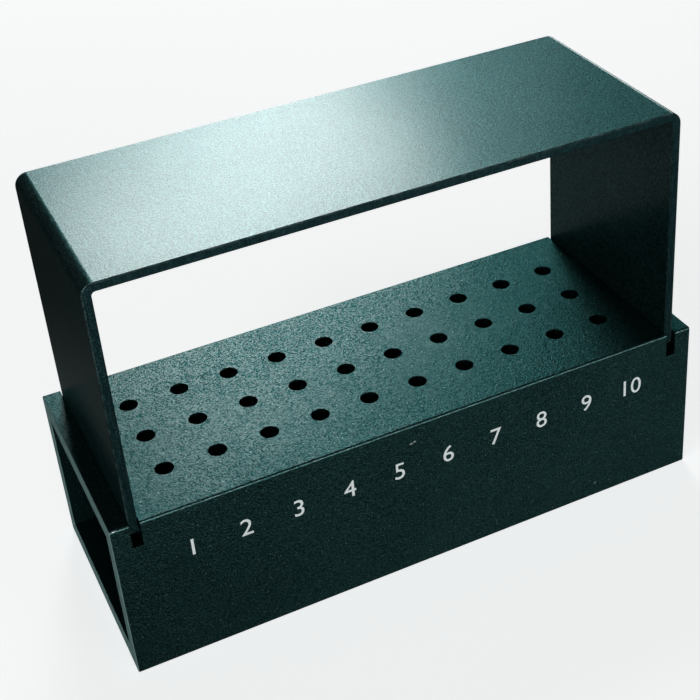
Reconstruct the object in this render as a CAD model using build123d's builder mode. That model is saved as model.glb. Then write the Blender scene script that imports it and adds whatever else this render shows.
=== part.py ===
"""Dental bur block: a drilled length of rectangular tube under an arch of bent sheet.

Millimetres, +Z up, +X along the block, -Y towards the user.
The origin is the middle of the footprint, on the surface that the block stands on.
"""
import os

from build123d import *

# Block: a length of rectangular tube, cut square and left open at both ends
block_length = 82.0
block_depth = 31.0
block_height = 23.2
wall = 2.5
corner_radius = 0.3

# Bur holes: a grid through the top wall, drilled to pass a shank
shank_diameter = 2.35
shank_clearance = 0.05
hole_columns = 10
hole_rows = 3
column_pitch = 7.0
row_pitch = 7.4

# Cover: one strip of sheet, bent twice into an arch that is a little less deep than the block
sheet = 1.2
inner_bend_radius = 0.5
cover_rise = 32.9
cover_setback = 0.7

# Slots: sawn across the block near each end, where the cover's legs stand
end_ledge = 2.4
slot_depth = 3.5
slot_clearance = 0.1
foot_gap = 1.6

# Deburred edges
edge_break = 0.1
rim_break = 0.05

# What follows from the sizes above
hole_diameter = shank_diameter + shank_clearance
slot_width = sheet + 2 * slot_clearance
slot_centre_x = block_length / 2 - end_ledge - slot_width / 2
leg_outer_x = slot_centre_x + sheet / 2
foot_z = block_height - slot_depth + foot_gap
cover_top_z = block_height + cover_rise
cover_depth = block_depth - 2 * cover_setback


# Block
with BuildPart() as block:
    # Tube, drawn looking along it and grown both ways from the middle
    with BuildSketch(Plane.YZ) as tube_section:
        with Locations((0, block_height / 2)):
            RectangleRounded(block_depth, block_height, corner_radius)
            Rectangle(block_depth - 2 * wall, block_height - 2 * wall, mode=Mode.SUBTRACT)
    extrude(amount=block_length / 2, both=True)

    # Sawn ends, deburred outside and inside
    sawn_ends = block.faces().filter_by(Axis.X)
    chamfer(sawn_ends.edges(), length=edge_break)

    # Bur holes through the top wall, each with a broken rim
    with BuildSketch(Plane.XY.offset(block_height)) as hole_grid:
        with GridLocations(column_pitch, row_pitch, hole_columns, hole_rows):
            Circle(hole_diameter / 2)
    extrude(amount=-wall, mode=Mode.SUBTRACT)
    hole_rims = block.edges().filter_by(GeomType.CIRCLE).group_by(Axis.Z)[-1]
    chamfer(hole_rims, length=rim_break)

    # Saw cuts from the front face right through to the back face
    with BuildSketch(Plane.XY.offset(block_height)) as saw_cuts:
        with GridLocations(2 * slot_centre_x, 0, 2, 1):
            Rectangle(slot_width, block_depth)
    extrude(amount=-slot_depth, mode=Mode.SUBTRACT)

block.part.label = "block"


# Cover
with BuildPart() as cover:
    # Outer line of the strip, up one leg, over the top and down the other, given its thickness
    with BuildSketch(Plane.XZ) as strip:
        with BuildLine() as strip_outline:
            outer_line = FilletPolyline(
                (-leg_outer_x, foot_z),
                (-leg_outer_x, cover_top_z),
                (leg_outer_x, cover_top_z),
                (leg_outer_x, foot_z),
                radius=inner_bend_radius + sheet,
            )
            offset(outer_line, amount=sheet, side=Side.RIGHT)
        make_face()
    extrude(amount=cover_depth / 2, both=True)

    # Cut edges, deburred
    cut_edges = cover.faces().filter_by(Axis.Y)
    chamfer(cut_edges.edges(), length=edge_break)

cover.part.label = "cover"


os.makedirs("parts", exist_ok=True)
export_step(block.part, "parts/block.step")
export_step(cover.part, "parts/cover.step")
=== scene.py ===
"""Dental bur block, dressed: dark blasted and anodised aluminium under soft studio light."""
import math

import bmesh
import bpy
from mathutils import Euler, Matrix, Quaternion, Vector


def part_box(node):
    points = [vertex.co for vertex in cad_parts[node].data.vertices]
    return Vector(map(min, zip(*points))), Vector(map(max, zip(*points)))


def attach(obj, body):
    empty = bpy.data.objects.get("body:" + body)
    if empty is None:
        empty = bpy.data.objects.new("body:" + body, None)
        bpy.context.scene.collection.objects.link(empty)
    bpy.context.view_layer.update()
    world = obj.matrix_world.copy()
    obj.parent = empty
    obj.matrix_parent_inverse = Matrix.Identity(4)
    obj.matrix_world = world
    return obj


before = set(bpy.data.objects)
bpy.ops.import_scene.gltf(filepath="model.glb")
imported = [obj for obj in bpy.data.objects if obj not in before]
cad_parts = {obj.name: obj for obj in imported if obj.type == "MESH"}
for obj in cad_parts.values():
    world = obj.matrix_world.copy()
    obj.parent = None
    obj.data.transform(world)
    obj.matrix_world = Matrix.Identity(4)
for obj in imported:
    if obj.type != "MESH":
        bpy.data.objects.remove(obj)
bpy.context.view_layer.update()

MM = 0.001


# Camera: where the photograph was taken from
CAMERA_PLACE = (-0.06093, -0.14812, 0.13639)
CAMERA_TURN = (1.018763, 0.062128, -0.455791)
CAMERA_LENS, SENSOR_WIDTH = 74.786, 36
CAMERA_SHIFT = (-0.06436, -0.12157)
CAMERA_CLIP = (0.01, 50)


def make_camera():
    data = bpy.data.cameras.new("camera")
    data.sensor_width = SENSOR_WIDTH
    data.lens = CAMERA_LENS
    data.shift_x, data.shift_y = CAMERA_SHIFT
    data.clip_start, data.clip_end = CAMERA_CLIP
    camera = bpy.data.objects.new("camera", data)
    camera.location = CAMERA_PLACE
    camera.rotation_euler = Euler(CAMERA_TURN, "XYZ")
    bpy.context.scene.collection.objects.link(camera)
    bpy.context.scene.camera = camera


# Node tools
def new_material(name):
    material = bpy.data.materials.new(name)
    material.use_nodes = True
    tree = material.node_tree
    tree.nodes.clear()
    return material, tree


def feed(tree, socket, value):
    """Link another node's output to the socket, or give it a value of its own."""
    if isinstance(value, bpy.types.NodeSocket):
        tree.links.new(value, socket)
    else:
        socket.default_value = value


def node(tree, kind, inputs=None, **settings):
    made = tree.nodes.new(kind)
    for key, value in settings.items():
        setattr(made, key, value)
    for key, value in (inputs or {}).items():
        feed(tree, made.inputs[key], value)
    return made


def maths(tree, operation, first, second=0.0, third=0.0, clamp=False):
    made = node(tree, "ShaderNodeMath", {0: first, 1: second, 2: third},
                operation=operation, use_clamp=clamp)
    return made.outputs[0]


def vectors(tree, operation, first, second=(0.0, 0.0, 0.0), result="Vector"):
    made = node(tree, "ShaderNodeVectorMath", {0: first, 1: second}, operation=operation)
    return made.outputs[result]


def noise(tree, place, scale, detail=2.0, roughness=0.5):
    made = node(tree, "ShaderNodeTexNoise", {
        "Vector": place, "Scale": scale, "Detail": detail, "Roughness": roughness})
    return made.outputs[0]


def ramp(tree, value, span, result=(0.0, 1.0)):
    """Ease from result[0] to result[1] while the value crosses the span."""
    made = node(tree, "ShaderNodeMapRange", {
        "Value": value, "From Min": span[0], "From Max": span[1],
        "To Min": result[0], "To Max": result[1]}, interpolation_type="SMOOTHSTEP")
    return made.outputs["Result"]


def mix_colours(tree, factor, first, second):
    """Sockets 6 and 7 of the mix node are its two colours."""
    made = node(tree, "ShaderNodeMix", {0: factor, 6: first, 7: second}, data_type="RGBA")
    return made.outputs[2]


def new_group(name, inputs, outputs):
    """inputs and outputs give the kind of each socket, Vector or Float, by its label."""
    group = bpy.data.node_groups.new(name, "ShaderNodeTree")
    for way, sockets in (("INPUT", inputs), ("OUTPUT", outputs)):
        for label, kind in sockets.items():
            group.interface.new_socket(label, in_out=way, socket_type="NodeSocket" + kind)
    given = group.nodes.new("NodeGroupInput").outputs
    return group, given, group.nodes.new("NodeGroupOutput").inputs


def use_group(tree, group, inputs):
    return node(tree, "ShaderNodeGroup", inputs, node_tree=group).outputs


# Blasted grain under the anodising. A share is a frequency against that of the pits
GRAIN_SIZE = 0.21 * MM
PIT_DETAIL, PIT_ROUGHNESS = 1.5, 0.6
PIT_SPAN, PIT_SHADE = (0.40, 0.60), (-0.5, 0.5)
WAVE_SHARE, WAVE_HEIGHT = 0.28, 0.7
CLOUD_SHARE, CLOUD_DETAIL = 0.012, 3.0
CLOUD_SPAN, CLOUD_SHADE = (0.3, 0.7), (-0.08, 0.08)
SPECK_SHARE = 0.8
SPECK_DRAW = (0.90, 0.97)
SPECK_CORE = (0.15, 0.5)


def make_blasted_grain():
    group, given, out = new_group(
        "blasted grain", {"Place": "Vector"},
        {"Height": "Float", "Shade": "Float", "Speck": "Float"})
    place = given["Place"]
    fineness = 1.0 / GRAIN_SIZE
    pits = noise(group, place, fineness, PIT_DETAIL, PIT_ROUGHNESS)
    waves = noise(group, place, fineness * WAVE_SHARE)
    cloud = noise(group, place, fineness * CLOUD_SHARE, CLOUD_DETAIL)
    feed(group, out["Height"], maths(group, "MULTIPLY_ADD", waves, WAVE_HEIGHT, pits))
    feed(group, out["Shade"], maths(
        group, "ADD", ramp(group, pits, PIT_SPAN, PIT_SHADE),
        ramp(group, cloud, CLOUD_SPAN, CLOUD_SHADE)))
    cells = node(group, "ShaderNodeTexVoronoi", {
        "Vector": place, "Scale": fineness * SPECK_SHARE}, feature="F1").outputs
    drawn = node(group, "ShaderNodeSeparateColor", {0: cells["Color"]}).outputs[0]
    core = ramp(group, cells["Distance"], SPECK_CORE, (1.0, 0.0))
    feed(group, out["Speck"], maths(group, "MULTIPLY", ramp(group, drawn, SPECK_DRAW), core))
    return group


# Worn edges, in patches, which also paint glints: the lighter band along the box's edges
# stands in for light caught on the arrises
WEAR_GLINT_WIDTH = 0.20 * MM
WEAR_GLINT_SCALE, WEAR_GLINT_DETAIL = 900.0, 3.0
WEAR_GLINT_SPAN, WEAR_GLINT_PATCHES = (0.4, 0.62), (0.2, 1.0)


def make_edge_wear_and_glint():
    group, given, out = new_group(
        "edge wear and glint", {"Place": "Vector", "Middle": "Vector", "Half size": "Vector"},
        {"Wear and glint": "Float"})
    away = vectors(group, "SUBTRACT", given["Place"], given["Middle"])
    inside = vectors(group, "SUBTRACT", vectors(group, "ABSOLUTE", away), given["Half size"])
    x, y, z = node(group, "ShaderNodeSeparateXYZ", {0: inside}).outputs
    # The middle one of the three is 0 on an edge of the box and below 0 elsewhere on its faces
    second = maths(group, "MAXIMUM", maths(group, "MINIMUM", x, y),
                   maths(group, "MINIMUM", maths(group, "MAXIMUM", x, y), z))
    near = node(group, "ShaderNodeMapRange", {
        "Value": second, "From Min": -WEAR_GLINT_WIDTH, "From Max": 0.0}).outputs["Result"]
    patches = ramp(group, noise(group, given["Place"], WEAR_GLINT_SCALE, WEAR_GLINT_DETAIL),
                   WEAR_GLINT_SPAN, WEAR_GLINT_PATCHES)
    feed(group, out["Wear and glint"], maths(group, "MULTIPLY", near, patches))
    return group


# Cut faces, with fine upright lines
CUT_DEPTH = (0.03 * MM, 0.10 * MM)
LINE_SCALES = (9000.0, 7000.0, 500.0)
LINE_SPAN = (0.3, 0.7)


def make_cut_faces():
    group, given, out = new_group(
        "cut faces",
        {"Place": "Vector", "Middle": "Vector", "Axis": "Vector", "Reach": "Float",
         "Evenness": "Float"},
        {"Cut": "Float", "Streaks": "Float"})
    away = vectors(group, "SUBTRACT", given["Place"], given["Middle"])
    along = vectors(group, "DOT_PRODUCT", away, given["Axis"], "Value")
    depth = maths(group, "SUBTRACT", given["Reach"], maths(group, "ABSOLUTE", along))
    cut = ramp(group, depth, CUT_DEPTH, (1.0, 0.0))
    stretched = node(group, "ShaderNodeMapping", {
        "Vector": given["Place"], "Scale": LINE_SCALES}).outputs[0]
    lines = ramp(group, noise(group, stretched, 1.0), LINE_SPAN, (given["Evenness"], 1.0))
    feed(group, out["Cut"], cut)
    feed(group, out["Streaks"], maths(group, "MULTIPLY", cut, lines))
    return group


# Small marks seen in the photograph, as middle and half size in mm
BLOCK_MARKS = (
    ((-1.65, -15.5, 20.4), (0.30, 0.3, 0.13)),    # chips on the front face
    ((-1.15, -15.5, 20.55), (0.22, 0.3, 0.15)),
    ((26.0, -15.5, 2.2), (0.22, 0.3, 0.16)),
    ((-40.3, -15.5, 23.2), (0.75, 0.22, 0.16)),   # rubbed edge on the left ledge, with a painted highlight on its front arris
)
MARK_SCALE = 5000.0
MARK_SPAN = (1.1, 1.5)


def make_small_mark():
    """A ragged spot, 1 inside an ellipsoid and 0 outside it."""
    group, given, out = new_group(
        "small mark", {"Place": "Vector", "Middle": "Vector", "Half size": "Vector"},
        {"Mark": "Float"})
    away = vectors(group, "SUBTRACT", given["Place"], given["Middle"])
    scaled = vectors(group, "DIVIDE", away, given["Half size"])
    apart = vectors(group, "LENGTH", scaled, result="Value")
    ragged = maths(group, "ADD", apart, noise(group, given["Place"], MARK_SCALE))
    feed(group, out["Mark"], ramp(group, ragged, MARK_SPAN, (1.0, 0.0)))
    return group


# Colours, as linear light: dark teal-black dye with the lighter tops of its grain,
# metal where it is cut, worn or chipped, lighter metal as painted glints on edges and the left
# ledge, and ink
TUBE_DARK, TUBE_LIGHT = (0.0055, 0.0250, 0.0270, 1.0), (0.060, 0.170, 0.166, 1.0)
SHEET_DARK, SHEET_LIGHT = (0.024, 0.066, 0.070, 1.0), (0.122, 0.290, 0.290, 1.0)
EDGE_TINT = (0.40, 0.80, 0.80, 1.0)
SAWN_METAL = (0.50, 0.84, 0.82, 1.0)
DYED_CUT = (0.005, 0.019, 0.022, 1.0)
WORN_METAL_AND_GLINT = (0.28, 0.40, 0.40, 1.0)
CHIPPED_AND_GLINT = (0.75, 0.85, 0.84, 1.0)
INK = (0.84, 0.93, 0.92, 1.0)

# What differs between the two pieces. cut_axis is the axis that the cut faces look along
BLOCK_FINISH = {
    "colours": (TUBE_DARK, TUBE_LIGHT), "roughness": 0.37, "coat": 0.235, "coat_roughness": 0.22,
    "grain_in_colour": 0.42, "grain_in_coat": 2.1, "cut_axis": (1, 0, 0),
    "cut_colour": SAWN_METAL, "cut_metal": 0.15, "cut_evenness": 0.35, "marks": BLOCK_MARKS}
COVER_FINISH = {
    "colours": (SHEET_DARK, SHEET_LIGHT), "roughness": 0.39, "coat": 0.85, "coat_roughness": 0.21,
    "grain_in_colour": 0.85, "grain_in_coat": 0.14, "cut_axis": (0, 1, 0),
    "cut_colour": DYED_CUT, "cut_metal": 0.9, "cut_evenness": 0.85, "marks": ()}

# What they share
ANODISED_IOR = 1.5
COLOUR_MIDDLE = 0.45
SPECK_STRENGTH = 0.56
WEAR_GLINT_STRENGTH = 0.6
GRAIN_IN_ROUGHNESS = 0.05
CUT_EXTRA_ROUGHNESS = 0.12
CUT_COAT_LOSS = 0.8
BUMP_STRENGTH, BUMP_DISTANCE = 0.7, 0.09 * MM


def make_anodised(name, groups, box, finish):
    material, tree = new_material(name)
    middle, half = box
    place = node(tree, "ShaderNodeTexCoord").outputs["Object"]
    texture = use_group(tree, groups["grain"], {"Place": place})
    worn_and_glint = use_group(tree, groups["wear_and_glint"], {
        "Place": place, "Middle": middle, "Half size": half})["Wear and glint"]
    cut = use_group(tree, groups["cut"], {
        "Place": place, "Middle": middle, "Axis": finish["cut_axis"],
        "Reach": Vector(half).dot(finish["cut_axis"]), "Evenness": finish["cut_evenness"]})

    factor = maths(tree, "MULTIPLY_ADD", texture["Shade"], finish["grain_in_colour"],
                   COLOUR_MIDDLE, clamp=True)
    colour = mix_colours(tree, factor, *finish["colours"])
    specks = maths(tree, "MULTIPLY", texture["Speck"], SPECK_STRENGTH)
    colour = mix_colours(tree, specks, colour, WORN_METAL_AND_GLINT)
    colour = mix_colours(tree, cut["Streaks"], colour, finish["cut_colour"])
    # Painted glint and wear: lighter metal in patches along the box's edges
    colour = mix_colours(tree, maths(tree, "MULTIPLY", worn_and_glint, WEAR_GLINT_STRENGTH), colour, WORN_METAL_AND_GLINT)
    for mark_middle, mark_half in finish["marks"]:
        mark = use_group(tree, groups["mark"], {
            "Place": place, "Middle": Vector(mark_middle) * MM,
            "Half size": Vector(mark_half) * MM})["Mark"]
        # Chips, and on the left ledge a painted highlight, as light metal
        colour = mix_colours(tree, mark, colour, CHIPPED_AND_GLINT)

    rough = maths(tree, "MULTIPLY_ADD", texture["Shade"], GRAIN_IN_ROUGHNESS, finish["roughness"])
    rough = maths(tree, "MULTIPLY_ADD", cut["Cut"], CUT_EXTRA_ROUGHNESS, rough)
    metal = maths(tree, "MULTIPLY_ADD", cut["Cut"], finish["cut_metal"] - 1.0, 1.0)
    coat = maths(tree, "MULTIPLY_ADD", cut["Cut"], -CUT_COAT_LOSS * finish["coat"], finish["coat"])
    glints = maths(tree, "MULTIPLY_ADD", texture["Shade"], finish["grain_in_coat"], 1.0)
    bump = node(tree, "ShaderNodeBump", {
        "Strength": BUMP_STRENGTH, "Distance": BUMP_DISTANCE, "Height": texture["Height"]})
    shader = node(tree, "ShaderNodeBsdfPrincipled", {
        "Base Color": colour, "Metallic": metal, "Roughness": rough, "IOR": ANODISED_IOR,
        "Normal": bump.outputs[0], "Specular Tint": EDGE_TINT,
        "Coat Weight": maths(tree, "MULTIPLY", glints, coat),
        "Coat Roughness": finish["coat_roughness"]})
    node(tree, "ShaderNodeOutputMaterial", {0: shader.outputs[0]})
    return material


# Bends and bores are shaded as round, flat faces as flat
ROUND_ANGLE = math.radians(26)
WELD_DISTANCE = 1e-6
FLAT_WEIGHT = 100


def make_round_shading():
    group = bpy.data.node_groups.new("round shading", "GeometryNodeTree")
    for way in ("INPUT", "OUTPUT"):
        group.interface.new_socket("Geometry", in_out=way, socket_type="NodeSocketGeometry")
    given = group.nodes.new("NodeGroupInput").outputs[0]
    out = group.nodes.new("NodeGroupOutput").inputs[0]
    welded = node(group, "GeometryNodeMergeByDistance", {
        "Geometry": given, "Distance": WELD_DISTANCE})
    turn = node(group, "GeometryNodeInputMeshEdgeAngle").outputs["Unsigned Angle"]
    sharp = node(group, "FunctionNodeCompare", {0: turn, 1: ROUND_ANGLE},
                 operation="GREATER_THAN")
    smooth = node(group, "GeometryNodeSetShadeSmooth", {
        "Geometry": welded.outputs[0], "Shade Smooth": True}, domain="FACE")
    creased = node(group, "GeometryNodeSetShadeSmooth", {
        "Geometry": smooth.outputs[0], "Selection": sharp.outputs[0],
        "Shade Smooth": False}, domain="EDGE")
    feed(group, out, creased.outputs[0])
    return group


def finish_node(name, material, shading):
    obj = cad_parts[name]
    rounder = obj.modifiers.new("round shading", "NODES")
    rounder.node_group = shading
    flats = obj.modifiers.new("flat faces", "WEIGHTED_NORMAL")
    flats.keep_sharp = True
    flats.weight = FLAT_WEIGHT
    if not obj.material_slots:
        obj.data.materials.append(None)
    for slot in obj.material_slots:
        slot.link = "OBJECT"
        slot.material = material


def box_shape(low, high):
    low, high = Vector(low), Vector(high)
    return tuple((low + high) / 2), tuple((high - low) / 2)


# Numbers on the front face, as raised ink that is thin in places
COLUMNS = 10
COLUMN_PITCH = 7.0 * MM
NUMBER_SIZE = 3.6 * MM
NUMBER_HEIGHT = 16.6 * MM
NUMBER_CURVE_STEPS = 6
INK_THICKNESS = 0.02 * MM
INK_WELD = 1e-7
INK_IOR, INK_ROUGHNESS = 1.5, 0.6
THIN_SCALE, THIN_SPAN, THIN_SHADE = 4200.0, (0.54, 0.76), (0.0, 0.4)


def make_ink():
    material, tree = new_material("white_ink")
    place = node(tree, "ShaderNodeTexCoord").outputs["Object"]
    thin = ramp(tree, noise(tree, place, THIN_SCALE), THIN_SPAN, THIN_SHADE)
    shader = node(tree, "ShaderNodeBsdfPrincipled", {
        "Base Color": mix_colours(tree, thin, INK, TUBE_LIGHT),
        "Roughness": INK_ROUGHNESS, "IOR": INK_IOR})
    node(tree, "ShaderNodeOutputMaterial", {0: shader.outputs[0]})
    return material


def print_numbers():
    """Plain numbers 1 to 10, one under each column of holes."""
    ink = bmesh.new()
    for column in range(COLUMNS):
        text = bpy.data.curves.new("number", "FONT")
        text.body = str(column + 1)
        text.size = NUMBER_SIZE
        text.align_x, text.align_y = "CENTER", "CENTER"
        text.extrude = INK_THICKNESS
        text.resolution_u = NUMBER_CURVE_STEPS
        shown = bpy.data.objects.new("number", text)
        shape = bpy.data.meshes.new_from_object(shown)
        across = COLUMN_PITCH * (column - (COLUMNS - 1) / 2)
        shape.transform(Matrix.Translation((across, 0, 0)))
        ink.from_mesh(shape)
        bpy.data.objects.remove(shown)
        bpy.data.meshes.remove(shape)
    bmesh.ops.remove_doubles(ink, verts=ink.verts, dist=INK_WELD)
    upright = Matrix.Rotation(math.radians(90), 3, "X")
    bmesh.ops.rotate(ink, verts=ink.verts, matrix=upright)
    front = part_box("block")[0].y
    bmesh.ops.translate(ink, verts=ink.verts, vec=(0, front, NUMBER_HEIGHT))
    data = bpy.data.meshes.new("column_numbers")
    ink.to_mesh(data)
    ink.free()
    numbers = bpy.data.objects.new("column_numbers", data)
    bpy.context.scene.collection.objects.link(numbers)
    data.materials.append(make_ink())
    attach(numbers, "block")


# Stage: a painted pool of light, the floor lighter near the object in reflections and bounce
FLOOR_RADIUS, FLOOR_SIDES = 6.0, 96
FLOOR_PAINT, FLOOR_GLOW = (0.85, 0.86, 0.86, 1), (0.68, 0.69, 0.69, 1)
PAINTED_POOL_MIDDLE = (0.02, 0.03, 0.0)
PAINTED_POOL_REACH = (0.048, 0.085)
PAINTED_POOL_NEAR, PAINTED_POOL_FAR = (0.33, 0.35, 0.35, 1.0), (0.04, 0.043, 0.043, 1.0)
BACKDROP_SEEN, BACKDROP_LIGHT = (0.92, 0.93, 0.93, 1), (0.02, 0.021, 0.021, 1)


def make_floor():
    mesh = bmesh.new()
    bmesh.ops.create_circle(mesh, cap_ends=True, segments=FLOOR_SIDES, radius=FLOOR_RADIUS)
    data = bpy.data.meshes.new("floor")
    mesh.to_mesh(data)
    mesh.free()
    floor = bpy.data.objects.new("floor", data)
    bpy.context.scene.collection.objects.link(floor)
    material, tree = new_material("floor paint")
    seen = node(tree, "ShaderNodeLightPath").outputs["Is Camera Ray"]
    pale = node(tree, "ShaderNodeAddShader", {
        0: node(tree, "ShaderNodeBsdfDiffuse", {"Color": FLOOR_PAINT}).outputs[0],
        1: node(tree, "ShaderNodeEmission", {"Color": FLOOR_GLOW}).outputs[0]})
    place = node(tree, "ShaderNodeTexCoord").outputs["Object"]
    apart = vectors(tree, "DISTANCE", place, PAINTED_POOL_MIDDLE, "Value")
    # Painted pool of light: floor colour, unseen by the camera, lighter near the object
    painted_pool = mix_colours(tree, ramp(tree, apart, PAINTED_POOL_REACH), PAINTED_POOL_NEAR, PAINTED_POOL_FAR)
    dim = node(tree, "ShaderNodeBsdfDiffuse", {"Color": painted_pool})
    both = node(tree, "ShaderNodeMixShader", {0: seen, 1: dim.outputs[0], 2: pale.outputs[0]})
    node(tree, "ShaderNodeOutputMaterial", {0: both.outputs[0]})
    data.materials.append(material)


def make_world():
    world = bpy.data.worlds.new("studio")
    world.use_nodes = True
    bpy.context.scene.world = world
    tree = world.node_tree
    tree.nodes.clear()
    seen = node(tree, "ShaderNodeLightPath").outputs["Is Camera Ray"]
    colour = mix_colours(tree, seen, BACKDROP_LIGHT, BACKDROP_SEEN)
    shade = node(tree, "ShaderNodeBackground", {0: colour, "Strength": 1.0})
    node(tree, "ShaderNodeOutputWorld", {0: shade.outputs[0]})


# Softboxes, all aimed at one point. Azimuth is measured from +Y towards +X, in degrees
LIGHT_AIM = (0, 0, 0.03)
SOFTBOXES = (
    # name, azimuth, elevation, distance, width, height, power, roll
    ("key", 15.8, 31.2, 0.8, 0.245, 0.175, 1.10, 35),
    ("key side", 29, 28, 0.8, 0.12, 0.12, 0.02, 0),
    ("low front", 170, 2, 0.6, 0.6, 0.1, 2.2, 0),
    ("low back right", 40, 5, 0.9, 0.35, 0.06, 0.2, 0),
    ("low back", 28, 2, 0.8, 0.5, 0.1, 0.35, 0),
    ("left", 245, 25, 0.85, 0.5, 0.5, 1.7, 0),
    ("right", 90, 20, 0.85, 0.5, 0.5, 0.16, 0),
    ("overhead", 180, 85, 0.9, 0.6, 0.6, 0.15, 0),
)


def make_softbox(name, azimuth, elevation, distance, width, height, power, roll):
    data = bpy.data.lights.new(name, "AREA")
    data.shape = "RECTANGLE"
    data.size, data.size_y = width, height
    data.energy = power
    lamp = bpy.data.objects.new(name, data)
    a, e = math.radians(azimuth), math.radians(elevation)
    way = Vector((math.sin(a) * math.cos(e), math.cos(a) * math.cos(e), math.sin(e)))
    lamp.location = Vector(LIGHT_AIM) + way * distance
    lamp.rotation_mode = "QUATERNION"
    rolled = Quaternion((0, 0, 1), math.radians(roll))
    lamp.rotation_quaternion = way.to_track_quat("Z", "Y") @ rolled
    lamp.visible_camera = False
    bpy.context.scene.collection.objects.link(lamp)


make_camera()
make_floor()
make_world()
bpy.context.scene.view_settings.view_transform = "Standard"
for softbox in SOFTBOXES:
    make_softbox(*softbox)

shading = make_round_shading()
groups = {"grain": make_blasted_grain(), "wear_and_glint": make_edge_wear_and_glint(), "cut": make_cut_faces(),
          "mark": make_small_mark()}
block_box, cover_box = box_shape(*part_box("block")), box_shape(*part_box("cover"))
block_anodised = make_anodised("block_anodised", groups, block_box, BLOCK_FINISH)
cover_anodised = make_anodised("cover_anodised", groups, cover_box, COVER_FINISH)
finish_node("block", block_anodised, shading)
finish_node("cover", cover_anodised, shading)
print_numbers()
